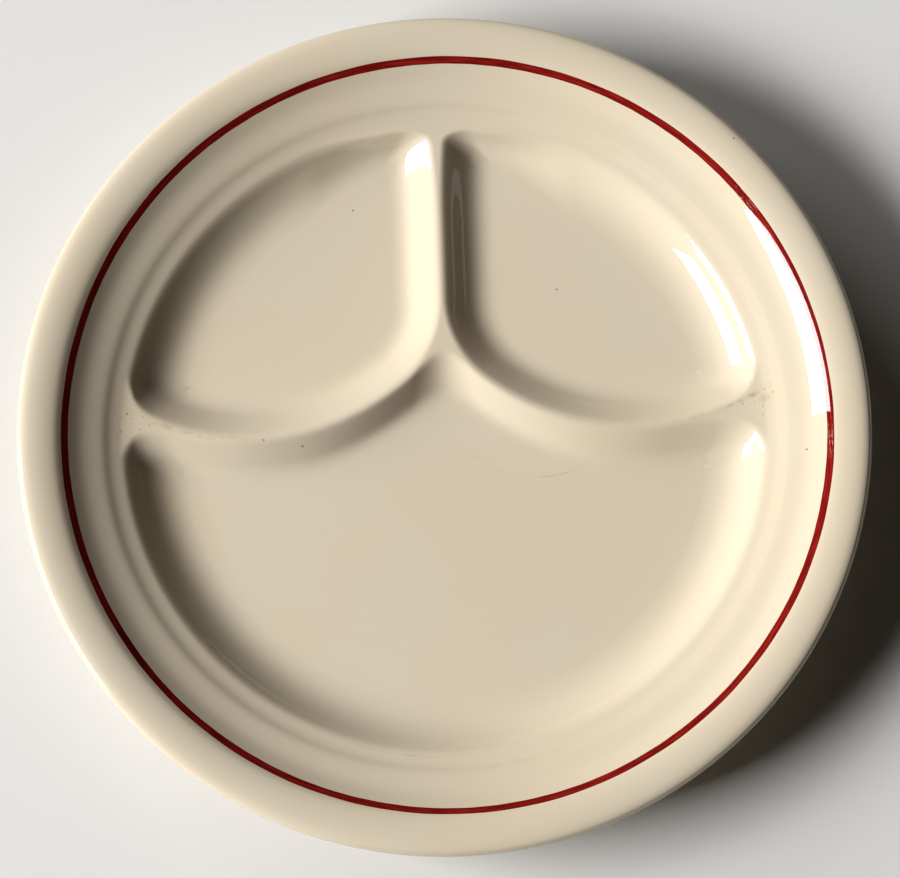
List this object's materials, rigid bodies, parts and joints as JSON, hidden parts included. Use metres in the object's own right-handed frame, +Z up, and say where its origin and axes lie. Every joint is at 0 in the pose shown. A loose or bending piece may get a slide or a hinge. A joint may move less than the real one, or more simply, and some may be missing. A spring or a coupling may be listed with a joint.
{
  "type": "divided plate",
  "caption": "Round compartment plate of heavy glazed china with a raised Y-shaped divider, a rolled rim and a thin coloured line, standing on a foot ring.",
  "frame": {"origin": "middle of the table face of the foot ring, on the table", "axes": "+Z up, out of the food side; +Y along the stem of the divider, away from the large compartment; +X to the right seen from above"},
  "size_m": [0.248, 0.248, 0.025],
  "materials": {
    "bare_clay": "dry, fine-grained vitrified clay, bare on the foot ring only",
    "ivory_glaze": "glossy ivory glaze with small pits and light wear",
    "red_line": "glossy deep red ceramic colour, banded by hand"
  },
  "bodies": {
    "root": {"china_body": "bare_clay", "face_glaze": "ivory_glaze", "foot_glaze": "ivory_glaze", "red_band": "red_line"}
  },
  "joints": []
}
